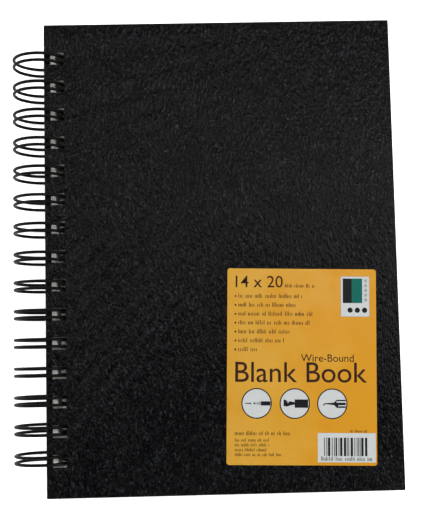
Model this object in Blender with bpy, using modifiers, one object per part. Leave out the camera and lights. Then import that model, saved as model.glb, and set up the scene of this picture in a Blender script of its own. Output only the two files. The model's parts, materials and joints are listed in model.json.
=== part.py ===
"""A hardcover sketchbook on a twin-loop wire binding, closed and lying on its back cover.

World frame: metres, +Z up, the front cover on top, the binding along Y on the -X side, the head
of the book towards +Y. The origin is under the middle of the outer box, at the lowest wire.

Every piece is drawn in the binding's own frame: X runs from the wire's axis towards the fore
edge, Y along the binding and Z up through the closed book, so that every leaf and the front
cover have their origin on the axis that they turn about.
"""

import math

import bmesh
import bpy
from mathutils import Matrix

MM = 0.001

# Covers: greyboard wrapped in embossed leatherette, which is turned in and lined with paper
FORE_OVERHANG = 4.6 * MM  # covers past the sheets at the fore edge
END_OVERHANG = 3.2 * MM  # covers past the sheets at the head and at the tail
COVER_EDGE_RADIUS = 0.5 * MM
BOARD_THICKNESS = 2.0 * MM
WRAP_THICKNESS = 0.25 * MM
TURN_IN = 15.0 * MM  # how far the wrap is folded over onto the cover's inner face
LINING_THICKNESS = 0.15 * MM
LINING_INSET = 2.0 * MM  # lining's edge to the cover's edge
GLUE_LINE = 0.05 * MM

# Drawing paper
PAGE_WIDTH = 139.7 * MM  # finished page, once torn off at the perforation
SHEET_HEIGHT = 203.2 * MM
STUB_WIDTH = 9.5 * MM  # strip that stays in the wire, left of the perforation
SHEET_PITCH = 0.15 * MM  # one sheet with its share of air
SHEET_GAP = 0.02 * MM
BLOCK_GAP = 0.1 * MM  # block of sheets to each cover's lining
SHEETS_PER_NODE = (1, 1, 1, 1, 1, 5, 10, 10, 10, 10, 10, 10, 9, 1)  # from the front cover down

# Punched row of holes, the same in every leaf
HOLE_PITCH = 12.7 * MM
HOLE_WIDTH = 6.0 * MM
HOLE_INSET = 2.9 * MM  # leaf's binding edge to the holes
ROW_MARGIN = 8.0 * MM  # the least from the middle of an end hole to the sheet's head or tail
ROW_RISE = 0.25 * MM  # middle of the row above the middle of the cover

# Wire
WIRE_RADIUS = 0.7 * MM
RING_RISE = 3.2 * MM  # middle of the wire above the front cover
COVER_PLAY = 0.33 * MM  # wire to the fore side of the covers' holes
SHEET_PLAY = 0.55 * MM  # wire to the fore side of the sheets' holes
LOOP_PLAY = 0.45 * MM  # wire to the head and tail sides of every hole
LOOP_WIDTH = 3.1 * MM  # between the two wires of one loop
BAR_CORNER = 1.2 * MM  # bend where a loop meets the bar to the next one
BAR_DROP = 1.15 * MM  # the bars' clearance below the back cover
TIP_GAP = 2.1 * MM  # round the ring, middle of a bar to the loops' closed ends
LEG_STEP = math.radians(22.5)
LOOP_LEAN = 0.03  # shift along the binding for each unit of height

# Label on the front cover
LABEL_WIDTH = 65.6 * MM
LABEL_HEIGHT = 85.5 * MM
LABEL_THICKNESS = 0.1 * MM
LABEL_CORNER = 1.2 * MM
LABEL_FORE_GAP = 10.9 * MM  # label to the cover's fore edge
LABEL_TAIL_GAP = 11.85 * MM  # label to the cover's tail
LABEL_SKEW = math.radians(-1.65)

CUT_PAST = 1.0 * MM  # how far a cutter runs past what it cuts

HALF_BLOCK = sum(SHEETS_PER_NODE) * SHEET_PITCH / 2
LINING_FACE = HALF_BLOCK + BLOCK_GAP
WRAP_INNER = LINING_FACE + LINING_THICKNESS + GLUE_LINE
BOARD_INNER = WRAP_INNER + WRAP_THICKNESS + GLUE_LINE
BOARD_OUTER = BOARD_INNER + BOARD_THICKNESS
WRAP_OUTER = BOARD_OUTER + GLUE_LINE + WRAP_THICKNESS

RING_RADIUS = WRAP_OUTER + RING_RISE  # axis to the middle of the wire
RING_REACH = RING_RADIUS + WIRE_RADIUS
HOLE_FAR_SIDE = HOLE_INSET + HOLE_WIDTH
HOLE_HEIGHT = LOOP_WIDTH + 2 * (WIRE_RADIUS + LOOP_PLAY)
HOLE_COUNT = int((SHEET_HEIGHT - 2 * ROW_MARGIN) / HOLE_PITCH) + 1
# the axis lies outside the covers' binding edge, and the sheets' edge lies inside it, by what
# keeps the wire clear of the fore side of every hole
RING_OFFSET = math.sqrt(RING_REACH**2 - LINING_FACE**2) + COVER_PLAY - HOLE_FAR_SIDE
SHEET_INSET = RING_REACH + SHEET_PLAY - RING_OFFSET - HOLE_FAR_SIDE
BAR_ANGLE = -math.asin((WRAP_OUTER + BAR_DROP + WIRE_RADIUS) / RING_RADIUS)
TIP_ANGLE = 2 * math.pi + BAR_ANGLE - TIP_GAP / RING_RADIUS

COVER_WIDTH = SHEET_INSET + STUB_WIDTH + PAGE_WIDTH + FORE_OVERHANG
COVER_HEIGHT = SHEET_HEIGHT + 2 * END_OVERHANG
LABEL_X = COVER_WIDTH - LABEL_FORE_GAP - LABEL_WIDTH / 2  # its middle, from the binding edge
LABEL_Y = LABEL_TAIL_GAP + LABEL_HEIGHT / 2 - COVER_HEIGHT / 2
AXIS_X = RING_REACH - (RING_REACH + RING_OFFSET + COVER_WIDTH) / 2
AXIS_Z = RING_REACH

LEATHERETTE = ((0.012, 0.013, 0.014), 0.45, 0.0)
GREYBOARD = ((0.33, 0.30, 0.26), 0.9, 0.0)
ENDPAPER = ((0.85, 0.84, 0.80), 0.85, 0.0)
DRAWING_PAPER = ((0.88, 0.87, 0.84), 0.85, 0.0)
LABEL_STOCK = ((0.80, 0.42, 0.05), 0.35, 0.0)
BLACK_WIRE = ((0.015, 0.015, 0.016), 0.35, 0.2)


def clear_scene():
    for thing in list(bpy.data.objects):
        bpy.data.objects.remove(thing)


def new_collection(name):
    collection = bpy.data.collections.new(name)
    bpy.context.scene.collection.children.link(collection)
    return collection


def give_material(thing, finish):
    colour, roughness, metallic = finish
    material = bpy.data.materials.new(thing.name)
    material.use_nodes = True
    shader = material.node_tree.nodes["Principled BSDF"]
    shader.inputs["Base Color"].default_value = (*colour, 1.0)
    shader.inputs["Roughness"].default_value = roughness
    shader.inputs["Metallic"].default_value = metallic
    thing.data.materials.append(material)


def add_box(bm, low, high):
    size = [b - a for a, b in zip(low, high)]
    middle = [(a + b) / 2 for a, b in zip(low, high)]
    bmesh.ops.create_cube(bm, size=1.0, matrix=Matrix.Translation(middle) @ Matrix.Diagonal((*size, 1.0)))


def object_from(bm, name, collection, parent):
    mesh = bpy.data.meshes.new(name)
    bm.to_mesh(mesh)
    bm.free()
    thing = bpy.data.objects.new(name, mesh)
    collection.objects.link(thing)
    thing.parent = parent
    return thing


def add_axis(name, parts, parent=None):
    """An empty on the wire's axis, for what turns about it."""
    axis = bpy.data.objects.new(name, None)
    parts.objects.link(axis)
    axis.parent = parent
    if parent is None:
        axis.location = (AXIS_X, 0.0, AXIS_Z)
    return axis


def as_cutter(thing):
    thing.hide_render = True
    thing.display_type = "WIRE"
    return thing


def cut(thing, cutter):
    modifier = thing.modifiers.new(cutter.name, "BOOLEAN")
    modifier.operation = "DIFFERENCE"
    modifier.object = cutter


def loop_middles():
    first = ROW_RISE - HOLE_PITCH * (HOLE_COUNT - 1) / 2
    return [first + HOLE_PITCH * i for i in range(HOLE_COUNT)]


def row_cutter(name, leaf_edge, reach, cutters, root):
    """The punch: a row of square pins through everything within reach of the axis."""
    bm = bmesh.new()
    left = leaf_edge + HOLE_INSET
    for y in loop_middles():
        add_box(bm, (left, y - HOLE_HEIGHT / 2, -reach), (left + HOLE_WIDTH, y + HOLE_HEIGHT / 2, reach))
    return as_cutter(object_from(bm, name, cutters, root))


def add_leaf(name, low, high, finish, punch, parts, parent):
    """A flat punched rectangle, such as a board, a lining or a stack of sheets."""
    bm = bmesh.new()
    add_box(bm, low, high)
    leaf = object_from(bm, name, parts, parent)
    cut(leaf, punch)
    give_material(leaf, finish)
    return leaf


def cover_box(bm, side, inset, inner, outer):
    """A box as large as the cover less an inset, between two distances from the book's middle."""
    low, high = sorted((side * inner, side * outer))
    edge = RING_OFFSET + inset
    reach = COVER_HEIGHT / 2 - inset
    add_box(bm, (edge, -reach, low), (RING_OFFSET + COVER_WIDTH - inset, reach, high))


def add_wrap(name, side, punch, parts, cutters, parent):
    """The leatherette: a skin over the board's outer face and edges, folded in over its inner face."""
    bm = bmesh.new()
    cover_box(bm, side, 0.0, WRAP_INNER, WRAP_OUTER)
    wrap = object_from(bm, name, parts, parent)
    bevel = wrap.modifiers.new("soft edges", "BEVEL")
    bevel.width = COVER_EDGE_RADIUS
    bevel.segments = 2
    bm = bmesh.new()
    cover_box(bm, side, WRAP_THICKNESS, WRAP_INNER + WRAP_THICKNESS, WRAP_OUTER - WRAP_THICKNESS)
    cut(wrap, as_cutter(object_from(bm, name + "_board_space", cutters, parent)))
    bm = bmesh.new()
    cover_box(bm, side, TURN_IN, WRAP_INNER - CUT_PAST, (BOARD_INNER + BOARD_OUTER) / 2)
    cut(wrap, as_cutter(object_from(bm, name + "_inner_window", cutters, parent)))
    cut(wrap, punch)
    give_material(wrap, LEATHERETTE)


def add_cover(name, side, punch, parts, cutters, parent):
    """One hard cover; side is 1 for the front and -1 for the back."""
    add_wrap(name + "_wrap", side, punch, parts, cutters, parent)
    pieces = (
        ("_board", GREYBOARD, WRAP_THICKNESS + GLUE_LINE, BOARD_INNER, BOARD_OUTER),
        ("_lining", ENDPAPER, LINING_INSET, LINING_FACE, LINING_FACE + LINING_THICKNESS),
    )
    for suffix, finish, inset, inner, outer in pieces:
        bm = bmesh.new()
        cover_box(bm, side, inset, inner, outer)
        piece = object_from(bm, name + suffix, parts, parent)
        cut(piece, punch)
        give_material(piece, finish)


def add_label(parts, parent):
    bm = bmesh.new()
    half_width, half_height = LABEL_WIDTH / 2, LABEL_HEIGHT / 2
    add_box(bm, (-half_width, -half_height, 0.0), (half_width, half_height, LABEL_THICKNESS))
    corners = [e for e in bm.edges if abs(e.verts[0].co.z - e.verts[1].co.z) > LABEL_THICKNESS / 2]
    bmesh.ops.bevel(bm, geom=corners, offset=LABEL_CORNER, segments=4, profile=0.5, affect="EDGES")
    label = object_from(bm, "cover_label", parts, parent)
    label.location = (RING_OFFSET + LABEL_X, LABEL_Y, WRAP_OUTER + GLUE_LINE)
    label.rotation_euler.z = LABEL_SKEW
    give_material(label, LABEL_STOCK)


def quarter_bend(middle, start, turn, steps):
    """Points on a bend of the unrolled wire: middle (round the ring, along the binding)."""
    round_ring, along = middle
    angles = [start + turn * i / steps for i in range(steps + 1)]
    return [(round_ring + BAR_CORNER * math.cos(a), along + BAR_CORNER * math.sin(a)) for a in angles]


def leg_lengths():
    """Distances round the ring of the points on a loop's two legs."""
    first = BAR_ANGLE * RING_RADIUS + BAR_CORNER
    last = TIP_ANGLE * RING_RADIUS - LOOP_WIDTH / 2
    steps = range(math.ceil(first / RING_RADIUS / LEG_STEP), math.ceil(last / RING_RADIUS / LEG_STEP))
    return [first, *(step * LEG_STEP * RING_RADIUS for step in steps), last]


def unrolled_wire():
    """The whole comb of loops as (distance round the ring, place along the binding)."""
    right = math.pi / 2
    bar = BAR_ANGLE * RING_RADIUS
    legs = leg_lengths()
    points = []
    for i, middle in enumerate(loop_middles()):
        low, high = middle - LOOP_WIDTH / 2, middle + LOOP_WIDTH / 2
        if i > 0:
            points += quarter_bend((bar + BAR_CORNER, low - BAR_CORNER), 2 * right, -right, 2)[:-1]
        points += [(length, low) for length in legs]
        tips = [-right + math.pi * k / 4 for k in (1, 2, 3)]
        points += [
            (legs[-1] + LOOP_WIDTH / 2 * math.cos(a), middle + LOOP_WIDTH / 2 * math.sin(a)) for a in tips
        ]
        points += [(length, high) for length in reversed(legs)]
        if i < HOLE_COUNT - 1:
            points += quarter_bend((bar + BAR_CORNER, high + BAR_CORNER), -right, -right, 2)[1:]
    return points


def add_wire(parts, parent):
    curve = bpy.data.curves.new("binding_wire", "CURVE")
    curve.dimensions = "3D"
    curve.bevel_depth = WIRE_RADIUS
    curve.bevel_resolution = 1
    curve.use_fill_caps = True
    spline = curve.splines.new("POLY")
    points = unrolled_wire()
    spline.points.add(len(points) - 1)
    for point, (length, along) in zip(spline.points, points):
        angle = length / RING_RADIUS
        height = RING_RADIUS * math.sin(angle)
        point.co = (RING_RADIUS * math.cos(angle), along + LOOP_LEAN * height, height, 1.0)
    wire = bpy.data.objects.new("binding_wire", curve)
    parts.objects.link(wire)
    wire.parent = parent
    give_material(wire, BLACK_WIRE)


def sheet_name(first, count):
    last = first + count - 1
    return f"sheet_{first:02d}" if count == 1 else f"sheets_{first:02d}_to_{last:02d}"


def sheet_groups():
    """Each group's name, bottom and top, from the back cover up."""
    groups = []
    first = 1
    top = HALF_BLOCK
    for count in SHEETS_PER_NODE:
        bottom = top - count * SHEET_PITCH
        groups.append((sheet_name(first, count), bottom + SHEET_GAP, top))
        first += count
        top = bottom
    return groups[::-1]


def build():
    clear_scene()
    parts = new_collection("sketchbook")
    cutters = new_collection("cutters")
    root = add_axis("binding_axis", parts)
    through = WRAP_OUTER + CUT_PAST
    cover_punch = row_cutter("cover_punch", RING_OFFSET, through, cutters, root)
    sheet_edge = RING_OFFSET + SHEET_INSET
    sheet_punch = row_cutter("sheet_punch", sheet_edge, through, cutters, root)
    add_wire(parts, root)
    add_cover("back_cover", -1, cover_punch, parts, cutters, root)
    # a turning leaf carries all that lies on it, so each axis hangs on the one below
    carrier = root
    half_height = SHEET_HEIGHT / 2
    fore_edge = sheet_edge + STUB_WIDTH + PAGE_WIDTH
    for name, bottom, top in sheet_groups():
        carrier = add_axis(name + "_axis", parts, carrier)
        low = (sheet_edge, -half_height, bottom)
        add_leaf(name, low, (fore_edge, half_height, top), DRAWING_PAPER, sheet_punch, parts, carrier)
    carrier = add_axis("front_cover_axis", parts, carrier)
    add_cover("front_cover", 1, cover_punch, parts, cutters, carrier)
    add_label(parts, carrier)


build()
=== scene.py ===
"""Builds the looks of a wire-bound hardcover sketchbook round its fixed frame."""

import json
import math
import random

import bmesh
import bpy
from bpy.props import FloatProperty, FloatVectorProperty, IntProperty, PointerProperty
from mathutils import Matrix, Vector

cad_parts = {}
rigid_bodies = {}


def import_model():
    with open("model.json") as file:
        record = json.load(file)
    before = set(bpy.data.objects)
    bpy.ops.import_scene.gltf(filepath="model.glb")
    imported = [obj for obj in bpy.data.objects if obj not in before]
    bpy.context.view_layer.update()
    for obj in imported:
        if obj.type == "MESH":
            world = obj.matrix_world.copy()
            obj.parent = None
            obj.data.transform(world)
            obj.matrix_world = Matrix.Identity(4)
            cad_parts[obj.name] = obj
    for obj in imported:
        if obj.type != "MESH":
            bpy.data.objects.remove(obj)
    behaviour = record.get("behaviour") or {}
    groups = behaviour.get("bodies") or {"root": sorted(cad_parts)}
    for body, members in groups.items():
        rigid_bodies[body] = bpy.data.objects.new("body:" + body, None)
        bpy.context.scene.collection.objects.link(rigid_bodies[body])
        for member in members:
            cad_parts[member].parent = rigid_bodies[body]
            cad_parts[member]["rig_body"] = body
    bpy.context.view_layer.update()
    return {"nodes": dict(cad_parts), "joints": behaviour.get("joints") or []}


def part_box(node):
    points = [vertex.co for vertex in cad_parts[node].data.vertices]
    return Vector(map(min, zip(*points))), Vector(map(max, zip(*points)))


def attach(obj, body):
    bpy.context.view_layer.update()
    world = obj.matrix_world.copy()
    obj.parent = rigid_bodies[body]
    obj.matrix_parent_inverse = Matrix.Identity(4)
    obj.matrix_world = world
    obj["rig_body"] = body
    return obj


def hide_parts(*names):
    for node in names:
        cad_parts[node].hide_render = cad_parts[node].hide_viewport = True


bl_info = {
    "name": "Wire-bound sketchbook",
    "version": (1, 0, 0),
    "blender": (4, 5, 0),
    "location": "3D View > Sidebar > Sketchbook",
    "description": "Models a hardcover sketchbook with a twin-loop wire binding",
    "category": "Add Mesh",
}

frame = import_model()

MM = 0.001
AXIS = Vector(frame["joints"][0]["pos_m"])
FRONT_LOW, FRONT_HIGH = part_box("front_cover_wrap")
WIRE_LOW, WIRE_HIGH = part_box("binding_wire")


# ---------------------------------------------------------------- settings


def length(name, description, default):
    return FloatProperty(
        name=name, description=description, default=default, unit="LENGTH", precision=5
    )


def angle(name, description, degrees):
    return FloatProperty(
        name=name, description=description, default=math.radians(degrees), subtype="ANGLE"
    )


def colour(name, description, default):
    return FloatVectorProperty(
        name=name, description=description, default=default, subtype="COLOR", min=0, max=1
    )


class PunchSettings(bpy.types.PropertyGroup):
    """The row of square holes that runs through every leaf"""

    count: IntProperty(name="Holes", description="Number of punched holes", default=15, min=1)
    pitch: length("Pitch", "Middle of one hole to the next", 12.7 * MM)
    width: length("Width", "Size of a hole across the leaf", 6.0 * MM)
    height: length("Height", "Size of a hole along the binding", 5.4 * MM)
    inset: length("Inset", "Leaf's binding edge to the holes", 2.9 * MM)


class WireSettings(bpy.types.PropertyGroup):
    """The twin-loop wire"""

    radius: length("Wire radius", "Half the thickness of the wire", 0.7 * MM)
    loop_width: length("Loop width", "Between the two wires of a loop", 3.1 * MM)
    bar_corner: length("Bar corner", "Bend where a loop meets the bar to the next", 1.2 * MM)
    rise: length("Rise", "Middle of the wire above the front cover", 3.2 * MM)
    bar_drop: length("Bar drop", "Clearance of the bars below the back cover", 1.15 * MM)
    tip_gap: length("Tip gap", "Round the ring, a bar to the loops' closed ends", 2.1 * MM)
    lean: FloatProperty(
        name="Lean", description="Shift along the binding for each unit of height", default=0.03
    )
    colour: colour("Coating", "Colour of the wire's coating", (0.0010, 0.0010, 0.0012))


class CoverSettings(bpy.types.PropertyGroup):
    """The two hard covers"""

    edge_radius: length("Edge radius", "Rounding where the wrap folds over the board", 0.6 * MM)
    skin: length("Wrap", "Thickness of the leatherette", 0.25 * MM)
    turn_in: length("Turn-in", "How far the wrap is folded onto the inner face", 15.0 * MM)
    rim: length("Punched rim", "Rounding round a punched hole", 0.15 * MM)
    # Grain colours: the tops are painted paler as painted glints with a little real wear, and the
    # creases are painted darker than the black as painted shade.
    ridge_wear_and_glint: colour("Grain ridges", "Leatherette on top of the grain", (0.0180, 0.0192, 0.0218))
    black_and_crease_shade: colour("Grain creases", "Leatherette down in the grain", (0.0006, 0.0007, 0.0011))
    worn: colour("Worn edge", "Leatherette where handling has rubbed it", (0.016, 0.0165, 0.017))
    board: colour("Board", "Greyboard seen in the punched holes", (0.66, 0.65, 0.62))
    lining: colour("Lining", "Paper pasted inside the covers", (0.80, 0.78, 0.72))


class SheetSettings(bpy.types.PropertyGroup):
    """The loose sheets of drawing paper"""

    pitch: length("Pitch", "One sheet with its share of air", 0.15 * MM)
    thickness: length("Thickness", "One sheet of paper", 0.13 * MM)
    drift: length("Drift", "How far a sheet may lie out of line", 0.09 * MM)
    stub: length("Stub", "Strip between the binding edge and the perforation", 9.5 * MM)
    slit: length("Slit", "Length of one cut of the perforation", 0.9 * MM)
    slit_pitch: length("Slit pitch", "One cut of the perforation to the next", 1.6 * MM)
    slit_width: length("Slit width", "Opening of one cut of the perforation", 0.12 * MM)
    paper: colour("Paper", "Colour of the drawing paper", (0.86, 0.85, 0.81))


class LabelSettings(bpy.types.PropertyGroup):
    """The printed sticker on the front cover"""

    width: length("Width", "Across the label", 65.6 * MM)
    height: length("Height", "Up the label", 85.5 * MM)
    thickness: length("Thickness", "Thickness of the label stock", 0.1 * MM)
    corner: length("Corner", "Radius of the label's corners", 1.2 * MM)
    fore_gap: length("Fore gap", "Label to the cover's fore edge", 10.9 * MM)
    tail_gap: length("Tail gap", "Label to the cover's tail", 11.85 * MM)
    skew: angle("Skew", "How far the label is turned", -1.65)
    ink_step: length("Ink step", "Height of one layer of print", 0.015 * MM)
    stock: colour("Stock", "Label's printed ground", (0.58, 0.262, 0.014))
    # A paler, less saturated orange, blended in towards the binding and in clouds.
    paler_ground: colour("Faded stock", "Label's ground where it is paler", (0.60, 0.325, 0.042))
    ink: colour("Ink", "Brown print", (0.026, 0.008, 0.006))
    charcoal: colour("Charcoal", "Near-black print", (0.0075, 0.008, 0.0095))
    grey: colour("Grey", "Pale grey print", (0.26, 0.27, 0.27))
    white: colour("White", "Unprinted paper", (0.50, 0.52, 0.515))
    accent: colour("Accent", "Second colour of the sample card", (0.004, 0.10, 0.078))


class StudioSettings(bpy.types.PropertyGroup):
    """Camera, floor and lights"""

    lens: FloatProperty(
        name="Lens", description="Focal length", default=61.98, min=1, subtype="DISTANCE_CAMERA"
    )
    distance: length("Distance", "Camera to the front cover, straight up", 392.52 * MM)
    aside: length("Aside", "Covers' binding edge to the camera", 66.31 * MM)
    below: length("Below", "Camera towards the tail of the book", -33.16 * MM)
    aim_aside: length("Aim aside", "Covers' binding edge to the point looked at", 73.54 * MM)
    aim_below: length("Aim below", "Point looked at, towards the tail", -2.26 * MM)
    roll: angle("Roll", "Camera's turn about its line of sight", -1.252)
    floor: colour("Floor", "Colour of the floor", (0.95, 0.95, 0.95))
    span: length("Span", "Size of the floor", 6.0)
    wall: length("Wall", "Height of the floor's turned-up rim", 1.1)
    glow: FloatProperty(
        name="Glow", description="Light that the floor gives off round the book", default=0.7, min=0
    )
    haze: FloatProperty(
        name="Haze", description="Faint light from all round the stage", default=0.03, min=0
    )


# ---------------------------------------------------------------- node maths


class Value:
    """A node's output. Arithmetic on it adds Math nodes."""

    def __init__(self, paint, socket):
        self.paint = paint
        self.socket = socket

    def __add__(self, other):
        return self.paint.maths("ADD", self, other)

    def __sub__(self, other):
        return self.paint.maths("SUBTRACT", self, other)

    def __rsub__(self, other):
        return self.paint.maths("SUBTRACT", other, self)

    def __mul__(self, other):
        return self.paint.maths("MULTIPLY", self, other)

    __radd__ = __add__
    __rmul__ = __mul__

    def __abs__(self):
        return self.paint.maths("ABSOLUTE", self, 0.0)


class Paint:
    """One material, and the nodes that it is made of."""

    def __init__(self, name, roughness=0.5, specular=0.5):
        self.material = bpy.data.materials.new(name)
        self.material.use_nodes = True
        self.tree = self.material.node_tree
        self.shader = self.tree.nodes["Principled BSDF"]
        self.shader.inputs["Roughness"].default_value = roughness
        self.shader.inputs["Specular IOR Level"].default_value = specular

    def feed(self, socket, value):
        if isinstance(value, Value):
            self.tree.links.new(value.socket, socket)
        elif isinstance(value, (tuple, list)) and socket.type == "RGBA":
            socket.default_value = (*value[:3], 1.0)
        else:
            socket.default_value = value

    def node(self, kind, inputs, output=0, **settings):
        node = self.tree.nodes.new(kind)
        for name, value in settings.items():
            setattr(node, name, value)
        for name, value in inputs.items():
            self.feed(node.inputs[name], value)
        return Value(self, node.outputs[output])

    def maths(self, operation, *values):
        return self.node("ShaderNodeMath", dict(enumerate(values)), operation=operation)

    def place(self, scale=(1.0, 1.0, 1.0)):
        """The point on the piece in millimetres, stretched."""
        point = self.node("ShaderNodeTexCoord", {}, "Object")
        stretch = tuple(amount / MM for amount in scale)
        return self.node("ShaderNodeMapping", {"Vector": point, "Scale": stretch})

    def axis(self, point, letter):
        return self.node("ShaderNodeSeparateXYZ", {0: point}, letter)

    def noise(self, point, scale, detail=2.0, roughness=0.5):
        inputs = {"Vector": point, "Scale": scale, "Detail": detail, "Roughness": roughness}
        return self.node("ShaderNodeTexNoise", inputs, "Fac")

    def noise_vector(self, point, scale):
        """Three noises at once, each from -0.5 to 0.5."""
        inputs = {"Vector": point, "Scale": scale, "Detail": 1.0}
        noise = self.node("ShaderNodeTexNoise", inputs, "Color")
        middle = (0.5, 0.5, 0.5)
        return self.node("ShaderNodeVectorMath", {0: noise, 1: middle}, operation="SUBTRACT")

    def shifted(self, point, way, distance):
        """The point moved along a vector, a distance for each unit of it."""
        inputs = {0: way, 1: (distance, distance, distance), 2: point}
        return self.node("ShaderNodeVectorMath", inputs, operation="MULTIPLY_ADD")

    def between(self, value, low, high, to_low=0.0, to_high=1.0):
        """Value taken smoothly from low..high to to_low..to_high."""
        inputs = {"Value": value, "From Min": low, "From Max": high}
        inputs |= {"To Min": to_low, "To Max": to_high}
        return self.node("ShaderNodeMapRange", inputs, "Result", interpolation_type="SMOOTHSTEP")

    def blend(self, factor, first, second):
        """Two colours mixed. A Mix node's colour sockets are found by their numbers."""
        return self.node("ShaderNodeMix", {0: factor, 6: first, 7: second}, 2, data_type="RGBA")

    def colour(self, value):
        self.feed(self.shader.inputs["Base Color"], value)

    def roughness(self, value):
        self.feed(self.shader.inputs["Roughness"], value)

    def bump(self, height, depth, strength=1.0):
        inputs = {"Height": height, "Distance": depth, "Strength": strength}
        self.feed(self.shader.inputs["Normal"], self.node("ShaderNodeBump", inputs, "Normal"))

    def on(self, *pieces):
        for piece in pieces:
            piece.data.materials.clear()
            piece.data.materials.append(self.material)


def tuple3(value):
    return tuple(value)[:3]


def tinted(base, *amounts):
    """A colour with its channels multiplied, by one amount for all or by one for each."""
    amounts = amounts if len(amounts) == 3 else amounts * 3
    return tuple(min(1.0, c * amount) for c, amount in zip(tuple3(base), amounts))


# ---------------------------------------------------------------- materials


def leatherette(name, cover, low, high):
    """Embossed black leatherette: long pebbles that flow in swirls, glossier on top; the grain tops
    are painted paler, as painted glints with a little wear, and the creases darker, as painted
    shade.
    """
    paint = Paint(name, specular=0.085)
    grain_scale, grain_depth = 0.85, 0.2 * MM
    swirl_scale, swirl_reach = 0.035, 8.0
    jitter_scale, jitter_reach = 0.6, 0.9
    rubbed_width = 1.4
    plain = paint.place()
    swirl = paint.shifted(plain, paint.noise_vector(plain, swirl_scale), swirl_reach)
    jitter = paint.shifted(swirl, paint.noise_vector(plain, jitter_scale), jitter_reach)
    inputs = {"Vector": jitter, "Scale": (1.0, 0.5, 1.0), "Rotation": (0, 0, 0.2)}
    flow = paint.node("ShaderNodeMapping", inputs)
    cells = {"Vector": flow, "Scale": grain_scale, "Randomness": 1.0}
    edge = paint.node("ShaderNodeTexVoronoi", cells, "Distance", feature="DISTANCE_TO_EDGE")
    shade = paint.axis(paint.node("ShaderNodeTexVoronoi", cells, "Color", feature="F1"), "X")
    pebble = paint.between(edge, 0.0, 0.32)
    strands = paint.noise(flow, grain_scale)
    lumps = paint.noise(plain, 0.25)
    pores = paint.noise(plain, 3.2)
    paint.bump(pebble * 0.5 + strands * 3.5 + lumps * 0.7 + pores * 0.1, grain_depth)
    # Grain tops: glossier, and painted paler as painted glints with a little wear; the rest takes
    # the creases' painted shade.
    glint_ridges = paint.between(strands, 0.47, 0.6) * paint.between(edge, 0.03, 0.2)
    body = paint.blend(glint_ridges * (shade * 0.9 + 0.1), tuple3(cover.black_and_crease_shade), tuple3(cover.ridge_wear_and_glint))
    rubbed = rim_mask(paint, plain, low, high, rubbed_width)
    scuffs = paint.between(paint.noise(plain, 0.7, 4.0), 0.52, 0.72)
    paint.colour(paint.blend(rubbed * scuffs, body, tuple3(cover.worn)))
    paint.roughness(0.27 - glint_ridges * 0.08 + 0.06 * lumps)
    return paint


def rim_mask(paint, point, low, high, width):
    """1 at and past a flat piece's outer edges, falling to 0 a width in millimetres inside them."""
    masks = []
    for letter, index in (("X", 0), ("Y", 1)):
        middle = (low[index] + high[index]) / 2 / MM
        reach = (high[index] - low[index]) / 2 / MM
        away = abs(paint.axis(point, letter) - middle)
        masks.append(paint.between(away, reach - width, reach))
    return paint.maths("MAXIMUM", *masks)


def greyboard(name, cover):
    """Recycled board: pale grey, with darker and paler fibres."""
    paint = Paint(name, roughness=0.9, specular=0.2)
    point = paint.place()
    fibres = paint.noise(paint.place((3.0, 3.0, 9.0)), 0.8, 4.0, 0.7)
    paint.colour(paint.blend(fibres, tinted(cover.board, 0.72), tinted(cover.board, 1.2)))
    paint.bump(paint.noise(point, 5.0, 3.0), 0.05 * MM, 0.6)
    return paint


def endpaper(name, cover):
    """Smooth lining paper with a faint cloud in its colour."""
    paint = Paint(name, roughness=0.8, specular=0.25)
    point = paint.place()
    clouds = paint.noise(point, 0.05, 3.0)
    paint.colour(paint.blend(clouds, tinted(cover.lining, 0.94), tuple3(cover.lining)))
    paint.bump(paint.noise(point, 2.5, 4.0), 0.02 * MM, 0.5)
    return paint


def drawing_paper(name, sheet):
    """Bright drawing paper: a fine tooth, faint clouds, and each sheet a shade of its own."""
    paint = Paint(name, roughness=0.88, specular=0.2)
    point = paint.place()
    shade = paint.node("ShaderNodeAttribute", {}, "Fac", attribute_name="sheet_shade")
    clouds = paint.noise(point, 0.08, 3.0)
    tone = paint.between(shade * 0.8 + clouds * 0.2, 0.0, 1.0)
    paint.colour(paint.blend(tone, tinted(sheet.paper, 0.84, 0.83, 0.81), tuple3(sheet.paper)))
    fibres = paint.noise(paint.place((0.6, 0.18, 1.0)), 1.0, 3.0)
    tooth = paint.noise(point, 2.2, 4.0, 0.65) + fibres * 0.3
    paint.bump(tooth, 0.04 * MM, 0.5)
    return paint


def coated_wire(name, wire):
    """Nylon-coated wire: black, with a slight orange peel and duller patches from handling."""
    paint = Paint(name, specular=0.09)
    point = paint.place()
    clouds = paint.noise(point, 0.4)
    paint.colour(paint.blend(clouds, tuple3(wire.colour), tinted(wire.colour, 1.8)))
    paint.roughness(paint.between(paint.noise(point, 0.9, 3.0), 0.3, 0.7, 0.42, 0.58))
    paint.bump(paint.noise(point, 3.5), 0.02 * MM, 0.4)
    return paint


def label_middle(label):
    across = FRONT_HIGH[0] - label.fore_gap - label.width / 2
    up = FRONT_LOW[1] + label.tail_gap + label.height / 2
    return Vector((across, up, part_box("cover_label")[1][2]))


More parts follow.
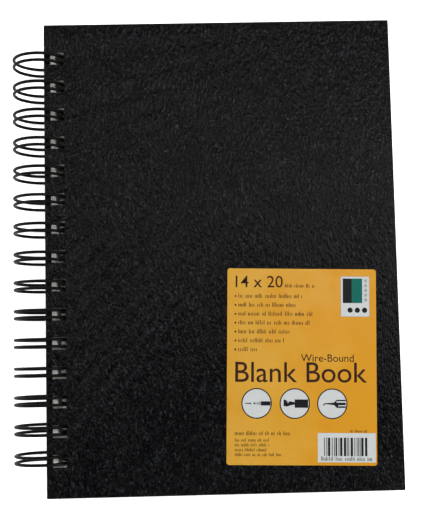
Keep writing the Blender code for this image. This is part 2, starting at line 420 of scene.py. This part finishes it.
def label_stock(name, label):
    """Printed ground: orange, paler towards the binding and in soft clouds, with a fine screen."""
    paint = Paint(name, specular=0.12)
    point = paint.place()
    middle, reach = label_middle(label).x / MM, 34.0
    across = paint.between(paint.axis(point, "X"), middle - reach, middle + reach)
    clouds = paint.noise(point, 0.055, 4.0, 0.6)
    tone = paint.between(across * 0.5 + clouds * 1.3, 0.5, 1.15)
    ground = paint.blend(tone, tuple3(label.paler_ground), tuple3(label.stock))
    screen = paint.noise(point, 1.6)
    paint.colour(paint.blend(screen * 0.12, ground, tinted(label.stock, 0.6)))
    paint.roughness(paint.between(clouds, 0.3, 0.7, 0.36, 0.5))
    paint.bump(paint.noise(point, 1.1, 3.0), 0.012 * MM, 0.5)
    return paint


def ink(name, base, mottle=1.5):
    """Printing ink, a little uneven where it lies on the stock."""
    paint = Paint(name, roughness=0.4, specular=0.1)
    point = paint.place()
    patches = paint.noise(point, 1.4, 3.0)
    paint.colour(paint.blend(patches, tuple3(base), tinted(base, mottle)))
    paint.bump(paint.noise(point, 1.1, 3.0), 0.01 * MM, 0.4)
    return paint


def floor_paint(name, studio):
    """Pale matt backdrop board, glowing with painted light all round the book, which washes out its
    shadows; there is no glow under the book.
    """
    paint = Paint(name, roughness=0.9, specular=0.1)
    point = paint.place()
    clouds = paint.noise(point, 0.005)
    paint.colour(paint.blend(clouds, tinted(studio.floor, 0.995), tuple3(studio.floor)))
    # Painted glow: the floor gives off light outside the book's outline, so the book's shadows on
    # it vanish.
    lit = rim_mask(paint, point, FRONT_LOW, FRONT_HIGH, 0.5)
    glowing = paint.blend(lit, (0.0, 0.0, 0.0), (1.0, 1.0, 1.0))
    paint.feed(paint.shader.inputs["Emission Color"], glowing)
    paint.shader.inputs["Emission Strength"].default_value = studio.glow
    return paint


# ---------------------------------------------------------------- modelling by hand


def to_object_mode():
    if bpy.context.object and bpy.context.object.mode != "OBJECT":
        bpy.ops.object.mode_set(mode="OBJECT")


def only(*pieces):
    """Selects these pieces and nothing else, the first of them active."""
    to_object_mode()
    bpy.ops.object.select_all(action="DESELECT")
    for piece in pieces:
        piece.select_set(True)
    bpy.context.view_layer.objects.active = pieces[0]


def settle(piece):
    """Puts the piece's place, turn and size into its mesh."""
    only(piece)
    bpy.ops.object.transform_apply(location=True, rotation=True, scale=True)
    return piece


def add_block(name, low, high):
    to_object_mode()
    bpy.ops.mesh.primitive_cube_add(size=1.0, location=[(a + b) / 2 for a, b in zip(low, high)])
    block = bpy.context.object
    block.name = name
    block.scale = [b - a for a, b in zip(low, high)]
    return settle(block)


def join(name, pieces):
    only(*pieces)
    if len(pieces) > 1:
        bpy.ops.object.join()
    bpy.context.object.name = name
    return bpy.context.object


def apply_modifiers(piece):
    only(piece)
    for modifier in list(piece.modifiers):
        bpy.ops.object.modifier_apply(modifier=modifier.name)


def cut(piece, *cutters):
    for cutter in cutters:
        modifier = piece.modifiers.new(cutter.name, "BOOLEAN")
        modifier.operation = "DIFFERENCE"
        modifier.object = cutter
    apply_modifiers(piece)


def discard(*pieces):
    for piece in pieces:
        bpy.data.objects.remove(piece)


def edit_edges(piece, test):
    """Opens the piece in edit mode with the edges selected whose two ends pass the test."""
    only(piece)
    bpy.ops.object.mode_set(mode="EDIT")
    bpy.ops.mesh.select_mode(type="EDGE")
    bpy.ops.mesh.select_all(action="DESELECT")
    shape = bmesh.from_edit_mesh(piece.data)
    for edge in shape.edges:
        if test(edge.verts[0].co, edge.verts[1].co):
            edge.select_set(True)
    bmesh.update_edit_mesh(piece.data)


def bevel_edges(piece, test, width, segments):
    edit_edges(piece, test)
    bpy.ops.mesh.bevel(offset=width, segments=segments, affect="EDGES", clamp_overlap=True)
    bpy.ops.object.mode_set(mode="OBJECT")


def soften(piece, degrees=35):
    only(piece)
    bpy.ops.object.shade_smooth_by_angle(angle=math.radians(degrees))


def finish_piece(piece, body, node=None):
    """Puts the piece on its body, and hides the node that it stands for."""
    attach(piece, body)
    if node:
        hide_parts(node)


def hole_middles(punch):
    row = (WIRE_LOW[1] + WIRE_HIGH[1]) / 2
    first = row - punch.pitch * (punch.count - 1) / 2
    return [first + punch.pitch * i for i in range(punch.count)]


def punch_row(name, punch, leaf_edge, low, high):
    """The punch's row of square pins, from height low to high."""
    left = leaf_edge + punch.inset
    pins = []
    for y in hole_middles(punch):
        corner = (left, y - punch.height / 2, low)
        pins.append(add_block(name, corner, (left + punch.width, y + punch.height / 2, high)))
    return join(name, pins)


# ---------------------------------------------------------------- wire


def bend(middle, radius, start, turn, steps):
    """Points on a bend of the wire laid out flat: (round the ring, along the binding)."""
    angles = [start + turn * i / steps for i in range(steps + 1)]
    return [(middle[0] + radius * math.cos(a), middle[1] + radius * math.sin(a)) for a in angles]


def flat_wire(wire, punch, ring):
    """The whole comb of loops laid out flat, from tail to head."""
    leg_steps, corner_steps, tip_steps = 52, 6, 14
    quarter = math.pi / 2
    corner = wire.bar_corner
    bar = -math.asin((ring - wire.rise + wire.bar_drop + wire.radius) / ring) * ring
    start = bar + corner
    end = 4 * quarter * ring + bar - wire.tip_gap - wire.loop_width / 2
    legs = [start + (end - start) * i / leg_steps for i in range(leg_steps + 1)]
    rows = hole_middles(punch)
    points = []
    for i, row in enumerate(rows):
        low, high = row - wire.loop_width / 2, row + wire.loop_width / 2
        if i > 0:
            points += bend((start, low - corner), corner, 2 * quarter, -quarter, corner_steps)[:-1]
        points += [(along, low) for along in legs]
        points += bend((end, row), wire.loop_width / 2, -quarter, math.pi, tip_steps)[1:-1]
        points += [(along, high) for along in reversed(legs)]
        if i < len(rows) - 1:
            points += bend((start, high + corner), corner, -quarter, -quarter, corner_steps)[1:]
    return points


class SKETCHBOOK_OT_wire(bpy.types.Operator):
    """Bends the twin-loop wire"""

    bl_idname = "sketchbook.wire"
    bl_label = "Binding wire"

    def execute(self, context):
        wire, punch = context.scene.sketchbook_wire, context.scene.sketchbook_punch
        ring = FRONT_HIGH[2] - AXIS.z + wire.rise
        to_object_mode()
        bpy.ops.curve.primitive_bezier_curve_add(location=(0, 0, 0))
        piece = bpy.context.object
        piece.name = "twin_loop_wire"
        piece.data.splines.clear()
        spline = piece.data.splines.new("POLY")
        route = flat_wire(wire, punch, ring)
        spline.points.add(len(route) - 1)
        for point, (along_ring, along) in zip(spline.points, route):
            turn = along_ring / ring
            across, rise = ring * math.cos(turn), ring * math.sin(turn)
            point.co = (AXIS.x + across, along + wire.lean * rise, AXIS.z + rise, 1.0)
        piece.data.dimensions = "3D"
        piece.data.bevel_depth = wire.radius
        piece.data.bevel_resolution = 4
        piece.data.use_fill_caps = True
        only(piece)
        bpy.ops.object.convert(target="MESH")
        bpy.ops.object.mode_set(mode="EDIT")
        bpy.ops.mesh.select_all(action="SELECT")
        bpy.ops.mesh.remove_doubles(threshold=1e-7)
        bpy.ops.mesh.normals_make_consistent(inside=False)
        bpy.ops.object.mode_set(mode="OBJECT")
        soften(piece, 50)
        coated_wire("black coated wire", wire).on(piece)
        finish_piece(piece, "back_cover", "binding_wire")
        return {"FINISHED"}


# ---------------------------------------------------------------- covers


def wrap_cover(name, side, cover, punch):
    """One cover's leatherette: a skin round the board, folded in over its inner face, and punched.

    side is 1 where the outer face is on top, and -1 where it is underneath."""
    low, high = (Vector(corner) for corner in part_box(name + "_wrap"))
    wrap = add_block(name + "_leatherette", low, high)
    bevel_edges(wrap, lambda a, b: True, cover.edge_radius, 4)
    inset = Vector((cover.skin,) * 3)
    space = add_block("board_space", low + inset, high - inset)
    past = 1.0 * MM
    window_low = low + Vector((cover.turn_in, cover.turn_in, 0))
    window_high = high - Vector((cover.turn_in, cover.turn_in, 0))
    middle = (low.z + high.z) / 2
    if side > 0:
        window_low.z, window_high.z = low.z - past, middle
    else:
        window_low.z, window_high.z = middle, high.z + past
    window = add_block("turn_in_window", window_low, window_high)
    pins = punch_row("cover_punch", punch, low.x, low.z - past, high.z + past)
    cut(wrap, space, window, pins)
    discard(space, window, pins)
    rims = wrap.modifiers.new("punched rims", "BEVEL")
    rims.width = cover.rim
    rims.segments = 2
    rims.limit_method = "ANGLE"
    rims.angle_limit = math.radians(60)
    apply_modifiers(wrap)
    soften(wrap)
    leatherette(name + " leatherette", cover, low, high).on(wrap)
    return wrap


class SKETCHBOOK_OT_covers(bpy.types.Operator):
    """Wraps both covers and finishes their boards and linings"""

    bl_idname = "sketchbook.covers"
    bl_label = "Covers"

    def execute(self, context):
        cover, punch = context.scene.sketchbook_cover, context.scene.sketchbook_punch
        for name, side in (("back_cover", -1), ("front_cover", 1)):
            wrap = wrap_cover(name, side, cover, punch)
            finish_piece(wrap, name, name + "_wrap")
            greyboard(name + " greyboard", cover).on(frame["nodes"][name + "_board"])
            endpaper(name + " lining paper", cover).on(frame["nodes"][name + "_lining"])
        return {"FINISHED"}


# ---------------------------------------------------------------- sheets


def punched_sheet(sheet, punch, low, high):
    """One sheet at height 0, with its holes and the cuts of its perforation."""
    flat_low = (low[0], low[1], 0.0)
    flat_high = (high[0], high[1], sheet.thickness)
    leaf = add_block("sheet", flat_low, flat_high)
    under, over = -sheet.thickness, 2 * sheet.thickness
    pins = punch_row("sheet_punch", punch, low[0], under, over)
    slits = []
    line = low[0] + sheet.stub
    count = int((high[1] - low[1]) / sheet.slit_pitch)
    first = (low[1] + high[1] - (count - 1) * sheet.slit_pitch) / 2
    for i in range(count):
        y = first + i * sheet.slit_pitch
        corner = (line - sheet.slit_width / 2, y - sheet.slit / 2, under)
        opposite = (line + sheet.slit_width / 2, y + sheet.slit / 2, over)
        slits.append(add_block("slit", corner, opposite))
    blade = join("perforating_blade", slits)
    cut(leaf, pins, blade)
    discard(pins, blade)
    return leaf


def shade_sheet(leaf, shade):
    attribute = leaf.data.attributes.new("sheet_shade", "FLOAT", "POINT")
    attribute.data.foreach_set("value", [shade] * len(leaf.data.vertices))


class SKETCHBOOK_OT_sheets(bpy.types.Operator):
    """Lays every sheet of drawing paper in its place"""

    bl_idname = "sketchbook.sheets"
    bl_label = "Sheets"

    def execute(self, context):
        sheet, punch = context.scene.sketchbook_sheet, context.scene.sketchbook_punch
        nodes = sorted(name for name in frame["nodes"] if name.startswith("sheet"))
        chance = random.Random(7)
        master = punched_sheet(sheet, punch, *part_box(nodes[0]))
        paper = drawing_paper("drawing paper", sheet)
        for node in nodes:
            low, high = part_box(node)
            body = frame["nodes"][node]["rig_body"]
            leaves = []
            for i in range(round((high[2] - low[2]) / sheet.pitch)):
                only(master)
                bpy.ops.object.duplicate()
                leaf = bpy.context.object
                drift = [chance.uniform(-sheet.drift, sheet.drift) for _ in range(2)]
                leaf.location = (*drift, low[2] + i * sheet.pitch)
                shade_sheet(leaf, chance.random())
                leaves.append(settle(leaf))
            stack = join(node + "_paper", leaves)
            paper.on(stack)
            finish_piece(stack, body, node)
        discard(master)
        return {"FINISHED"}


# ---------------------------------------------------------------- label

# The layers of print, from the lowest up.
ON_STOCK, WHITE, ON_WHITE, ON_INK = range(4)

# The layout of the print, in millimetres from the label's middle.
LEFT_MARGIN = -29.2
TITLE_RIGHT = 28.6
SIZE_RIGHT, SIZE_BASELINE = -8.4, 34.5
BULLET_LEFT, BULLET_TOP, BULLET_PITCH = -27.9, 29.8, 3.9
BULLET_ENDS = (0.4, -2.8, 5.0, 3.9, -4.1, -7.7, -19.6)
ADDRESS_TOP, ADDRESS_PITCH = -32.7, 2.07
ADDRESS_ENDS = (-14.2, -14.2, -14.6, -9.0)
PICTURES_UP, PICTURES_ACROSS = -16.2, (-19.8, -3.1, 13.3)
RING_RADIUS, PICTURE_RADIUS = 6.65, 6.15
SAMPLE_LOW, SAMPLE_HIGH = 27.85, 38.65
BAR_LOW, BAR_HIGH, BAR_START, BAR_END = -38.7, -30.8, 9.7, 29.0
THIN_BAR = 0.33


class Press:
    """Prints on the label. Places and sizes are millimetres from the label's middle."""

    def __init__(self, label):
        self.label = label
        turn = Matrix.Rotation(label.skew, 4, "Z")
        self.placing = Matrix.Translation(label_middle(label)) @ turn

    def layer(self, level):
        """Height of a layer's top above the stock."""
        return (level + 1) * self.label.ink_step

    def bar(self, left, right, low, high, level=ON_STOCK):
        corner = (left * MM, low * MM, -self.label.ink_step)
        return add_block("bar", corner, (right * MM, high * MM, self.layer(level)))

    def disc(self, across, up, radius, level=ON_STOCK, sides=64):
        top, bottom = self.layer(level), -self.label.ink_step
        to_object_mode()
        bpy.ops.mesh.primitive_cylinder_add(
            vertices=sides,
            radius=radius * MM,
            depth=top - bottom,
            location=(across * MM, up * MM, (top + bottom) / 2),
        )
        return settle(bpy.context.object)

    def words(self, text, left, right, baseline):
        """Lettering fitted between two places, standing on a baseline."""
        to_object_mode()
        bpy.ops.object.text_add(location=(0, 0, 0))
        piece = bpy.context.object
        piece.data.body = text
        piece.data.resolution_u = 6
        piece.data.offset = 0.002
        bpy.ops.object.convert(target="MESH")
        corners = [v.co for v in piece.data.vertices]
        start = min(c.x for c in corners)
        size = (right - left) * MM / (max(c.x for c in corners) - start)
        piece.scale = (size, size, 1.0)
        piece.location = (left * MM - start * size, baseline * MM, 0.0)
        settle(piece)
        thick = piece.modifiers.new("ink", "SOLIDIFY")
        thick.thickness = self.layer(ON_STOCK) + self.label.ink_step
        thick.offset = 0.0
        apply_modifiers(piece)
        return piece

    def wedge(self, left, right, up, half_left, half_right, level=ON_WHITE):
        """A bar along the line whose half-height runs from one value to another."""
        widest = max(half_left, half_right)
        piece = self.bar(left, right, up - widest, up + widest, level)
        for end, half in ((left, half_left), (right, half_right)):
            edit_edges(piece, lambda a, b, x=end * MM: max(abs(a.x - x), abs(b.x - x)) < 1e-7)
            shrink = (1.0, half / widest, 1.0)
            bpy.ops.transform.resize(value=shrink, center_override=(end * MM, up * MM, 0.0))
            bpy.ops.object.mode_set(mode="OBJECT")
        return piece

    def greeked(self, left, right, baseline, height, chance, level=ON_STOCK):
        """A line of small print that says nothing: uprights in groups of the length of words."""
        strokes = []
        stroke, gap, word_gap = 0.22 * height, 0.24 * height, 0.7 * height
        while left < right - stroke:
            for _ in range(chance.randint(3, 9)):
                if left > right - stroke:
                    break
                rise = height * chance.choice((1.0, 1.0, 1.0, 1.5))
                strokes.append(self.bar(left, left + stroke, baseline, baseline + rise, level))
                left += stroke + gap * chance.choice((1.0, 1.0, 1.6))
            left += word_gap
        return strokes

    def set_down(self, name, pieces, paint):
        """Joins what one ink prints and lays it on the label."""
        piece = join(name, pieces)
        piece.matrix_world = self.placing
        settle(piece)
        paint.on(piece)
        finish_piece(piece, "front_cover")
        return piece


def print_words(press, brown):
    """The title, and small print that stands for lines of text."""
    chance = random.Random(11)
    words = [
        press.words("14 x 20", LEFT_MARGIN, SIZE_RIGHT, SIZE_BASELINE),
        press.words("Blank Book", LEFT_MARGIN, TITLE_RIGHT, -6.9),
        press.words("Wire-Bound", -0.4, 22.8, 2.1),
    ]
    press.set_down("label_title", words, brown)
    lines = press.greeked(-7.4, 5.5, SIZE_BASELINE, 1.15, chance)
    dots = []
    for i, end in enumerate(BULLET_ENDS):
        up = BULLET_TOP - BULLET_PITCH * i
        dots.append(press.disc(LEFT_MARGIN, up + 0.75, 0.42, sides=24))
        lines += press.greeked(BULLET_LEFT, end, up, 1.3, chance)
    lines += press.greeked(LEFT_MARGIN, -5.2, -29.9, 1.2, chance)
    for i, end in enumerate(ADDRESS_ENDS):
        lines += press.greeked(LEFT_MARGIN, end, ADDRESS_TOP - ADDRESS_PITCH * i, 1.0, chance)
    lines += press.greeked(21.2, 28.7, -28.6, 0.9, chance)
    press.set_down("label_small_print", lines, brown)
    press.set_down("label_bullets", dots, brown)


def print_tools(press, charcoal, grey, white):
    """Three round pictograms: a pencil, a stick of charcoal and a dip pen."""
    up = PICTURES_UP
    rings = [press.disc(across, up, RING_RADIUS, ON_STOCK) for across in PICTURES_ACROSS]
    press.set_down("label_rings", rings, charcoal)
    discs = [press.disc(across, up, PICTURE_RADIUS, WHITE) for across in PICTURES_ACROSS]
    press.set_down("label_discs", discs, white)
    pencil, stick, pen = PICTURES_ACROSS
    dark_parts = [
        press.wedge(pencil - 5.1, pencil - 2.3, up, 0.14, 0.26),
        press.disc(pencil - 0.9, up, 0.42, ON_WHITE, 16),
        press.bar(pencil + 1.9, pencil + 6.05, up - 0.9, up + 0.9, ON_WHITE),
        press.wedge(stick - 4.9, stick - 3.6, up + 0.25, 1.5, 1.2),
        press.wedge(stick - 3.9, stick - 2.2, up - 0.15, 1.25, 0.75),
        press.wedge(stick - 2.4, stick - 0.05, up + 0.1, 0.95, 0.5),
        press.bar(stick - 0.05, stick + 5.85, up - 1.8, up + 1.8, ON_WHITE),
        press.disc(pen - 3.7, up - 0.45, 0.34, ON_WHITE, 12),
        press.wedge(pen - 3.6, pen + 0.9, up, 0.15, 0.55),
        press.wedge(pen + 0.9, pen + 2.0, up, 0.7, 1.75),
        press.bar(pen + 2.0, pen + 5.85, up - 1.75, up + 1.75, ON_WHITE),
    ]
    press.set_down("label_tools", dark_parts, charcoal)
    grey_parts = [
        press.wedge(pencil - 0.3, pencil + 1.9, up, 0.35, 0.8),
        press.bar(stick - 3.4, stick - 2.7, up + 0.2, up + 0.7, ON_INK),
    ]
    press.set_down("label_tool_greys", grey_parts, grey)
    pale_parts = [
        press.bar(pen + 1.9, pen + 5.8, up + 0.5, up + 1.15, ON_INK),
        press.bar(pen + 2.6, pen + 5.8, up - 1.05, up - 0.6, ON_INK),
    ]
    press.set_down("label_tool_highlights", pale_parts, white)


def print_card(press, charcoal, grey, white, accent):
    """A white card of plain colour samples: two large ones, a column of small ones, three dots."""
    press.set_down("label_card_edge", [press.bar(17.15, 29.9, 21.8, 39.6, ON_STOCK)], grey)
    press.set_down("label_card", [press.bar(17.3, 29.75, 21.95, 39.45, WHITE)], white)
    dots = [press.disc(across, 24.7, 1.15, ON_WHITE, 24) for across in (21.3, 24.5, 27.7)]
    dark = press.bar(18.1, 22.0, SAMPLE_LOW, SAMPLE_HIGH, ON_WHITE)
    press.set_down("label_sample_dark", [dark, *dots], charcoal)
    second = press.bar(22.0, 26.7, SAMPLE_LOW, SAMPLE_HIGH, ON_WHITE)
    press.set_down("label_sample_accent", [second], accent)
    column = [press.bar(27.6, 28.8, 28.6 + 2.1 * i, 29.9 + 2.1 * i, ON_WHITE) for i in range(5)]
    press.set_down("label_sample_grey", column, grey)


def print_bars(press, charcoal, white):
    """A white panel of upright bars that stand for no number."""
    chance = random.Random(3)
    press.set_down("label_bar_panel", [press.bar(6.9, 32.2, -41.4, -28.8, WHITE)], white)
    bars = []
    left = BAR_START
    while left < BAR_END:
        width = chance.choice((THIN_BAR, THIN_BAR, 2 * THIN_BAR, 3 * THIN_BAR))
        bars.append(press.bar(left, left + width, BAR_LOW, BAR_HIGH, ON_WHITE))
        left += width + chance.choice((THIN_BAR, THIN_BAR, 2 * THIN_BAR))
    bars += press.greeked(8.4, 30.6, -40.7, 1.2, chance, ON_WHITE)
    press.set_down("label_bars", bars, charcoal)


class SKETCHBOOK_OT_label(bpy.types.Operator):
    """Cuts the label, prints it and sticks it on the front cover"""

    bl_idname = "sketchbook.label"
    bl_label = "Label"

    def execute(self, context):
        label = context.scene.sketchbook_label
        press = Press(label)
        reach = Vector((label.width / 2, label.height / 2))
        thickness = label.thickness
        corner = (-reach.x, -reach.y, -thickness)
        sticker = add_block("label_sticker", corner, (reach.x, reach.y, 0))
        bevel_edges(sticker, lambda a, b: abs(a.z - b.z) > thickness / 2, label.corner, 8)
        bevel_edges(sticker, lambda a, b: min(a.z, b.z) > -thickness / 4, thickness * 0.3, 2)
        sticker.matrix_world = press.placing
        settle(sticker)
        soften(sticker)
        label_stock("label stock", label).on(sticker)
        finish_piece(sticker, "front_cover", "cover_label")
        brown = ink("brown print", label.ink)
        charcoal = ink("charcoal print", label.charcoal)
        grey = ink("grey print", label.grey, 1.15)
        white = ink("unprinted white", label.white, 1.06)
        accent = ink("teal print", label.accent, 1.25)
        print_words(press, brown)
        print_tools(press, charcoal, grey, white)
        print_card(press, charcoal, grey, white, accent)
        print_bars(press, charcoal, white)
        return {"FINISHED"}


# ---------------------------------------------------------------- stage

# Each softbox: its name, its place, its size and its power.
SOFTBOXES = (
    ("overhead_softbox", (0.1, 0.32, 1.0), (0.6, 0.2), 4.6),
    ("left_softbox", (-1.0, 0.1, 0.75), (0.5, 0.7), 4.6),
    ("right_softbox", (1.0, 0.1, 0.75), (0.5, 0.7), 8.0),
    ("tail_softbox", (0.1, -1.0, 0.8), (0.7, 0.4), 4.0),
)


def aim(thing, target, roll=0.0):
    """Points a camera or a lamp at a place, with the head of the book upwards."""
    away = (thing.location - target).normalized()
    right = Vector((0, 1, 0)).cross(away).normalized()
    up = away.cross(right)
    facing = Matrix((right, up, away)).transposed().to_4x4()
    thing.matrix_world = Matrix.Translation(thing.location) @ facing @ Matrix.Rotation(roll, 4, "Z")


def add_softbox(name, place, size, power):
    """A rectangular lamp that faces the middle of the stage."""
    to_object_mode()
    bpy.ops.object.light_add(type="AREA", location=place)
    lamp = bpy.context.object
    lamp.name = name
    lamp.data.shape = "RECTANGLE"
    lamp.data.size, lamp.data.size_y = size
    lamp.data.energy = power
    aim(lamp, Vector((0, 0, 0)))


def add_floor(name, studio):
    """A square floor whose rim is turned up all round."""
    to_object_mode()
    bpy.ops.mesh.primitive_grid_add(
        x_subdivisions=8, y_subdivisions=8, size=studio.span, location=(0, 0, 0)
    )
    floor = bpy.context.object
    floor.name = name
    inside = studio.span / 2 * 0.999
    edit_edges(
        floor,
        lambda a, b: min(abs(a.x), abs(b.x)) > inside or min(abs(a.y), abs(b.y)) > inside,
    )
    bpy.ops.mesh.extrude_region_move(TRANSFORM_OT_translate={"value": (0, 0, studio.wall)})
    bpy.ops.object.mode_set(mode="OBJECT")
    return floor


class SKETCHBOOK_OT_stage(bpy.types.Operator):
    """Sets up the floor, the lights and the camera"""

    bl_idname = "sketchbook.stage"
    bl_label = "Stage"

    def execute(self, context):
        studio = context.scene.sketchbook_studio
        floor = add_floor("studio_floor", studio)
        floor_paint("pale floor", studio).on(floor)
        edge, top = FRONT_LOW[0], FRONT_HIGH[2]
        place = (edge + studio.aside, studio.below, top + studio.distance)
        bpy.ops.object.camera_add(location=place)
        camera = bpy.context.object
        camera.name = "studio_camera"
        camera.data.lens = studio.lens
        camera.data.clip_start = 0.01
        aim(camera, Vector((edge + studio.aim_aside, studio.aim_below, top)), studio.roll)
        context.scene.camera = camera
        for softbox in SOFTBOXES:
            add_softbox(*softbox)
        world = bpy.data.worlds.new("studio_world")
        world.use_nodes = True
        background = world.node_tree.nodes["Background"]
        background.inputs["Color"].default_value = (1, 1, 1, 1)
        background.inputs["Strength"].default_value = studio.haze
        context.scene.world = world
        context.scene.view_settings.view_transform = "Standard"
        return {"FINISHED"}


# ---------------------------------------------------------------- add-on

SETTINGS = {
    "sketchbook_punch": PunchSettings,
    "sketchbook_wire": WireSettings,
    "sketchbook_cover": CoverSettings,
    "sketchbook_sheet": SheetSettings,
    "sketchbook_label": LabelSettings,
    "sketchbook_studio": StudioSettings,
}
OPERATORS = (
    SKETCHBOOK_OT_covers,
    SKETCHBOOK_OT_wire,
    SKETCHBOOK_OT_sheets,
    SKETCHBOOK_OT_label,
    SKETCHBOOK_OT_stage,
)


class SKETCHBOOK_PT_panel(bpy.types.Panel):
    """Lists the steps and their settings"""

    bl_label = "Sketchbook"
    bl_idname = "SKETCHBOOK_PT_panel"
    bl_space_type = "VIEW_3D"
    bl_region_type = "UI"
    bl_category = "Sketchbook"

    def draw(self, context):
        for operator in OPERATORS:
            self.layout.operator(operator.bl_idname)
        for name, group in SETTINGS.items():
            box = self.layout.box()
            for key in group.__annotations__:
                box.prop(getattr(context.scene, name), key)


def register():
    for kind in (*SETTINGS.values(), *OPERATORS, SKETCHBOOK_PT_panel):
        bpy.utils.register_class(kind)
    for name, group in SETTINGS.items():
        setattr(bpy.types.Scene, name, PointerProperty(type=group))


def unregister():
    for name in SETTINGS:
        delattr(bpy.types.Scene, name)
    for kind in reversed((*SETTINGS.values(), *OPERATORS, SKETCHBOOK_PT_panel)):
        bpy.utils.unregister_class(kind)


def main():
    register()
    bpy.ops.sketchbook.covers()
    bpy.ops.sketchbook.wire()
    bpy.ops.sketchbook.sheets()
    bpy.ops.sketchbook.label()
    bpy.ops.sketchbook.stage()


if __name__ == "__main__":
    main()
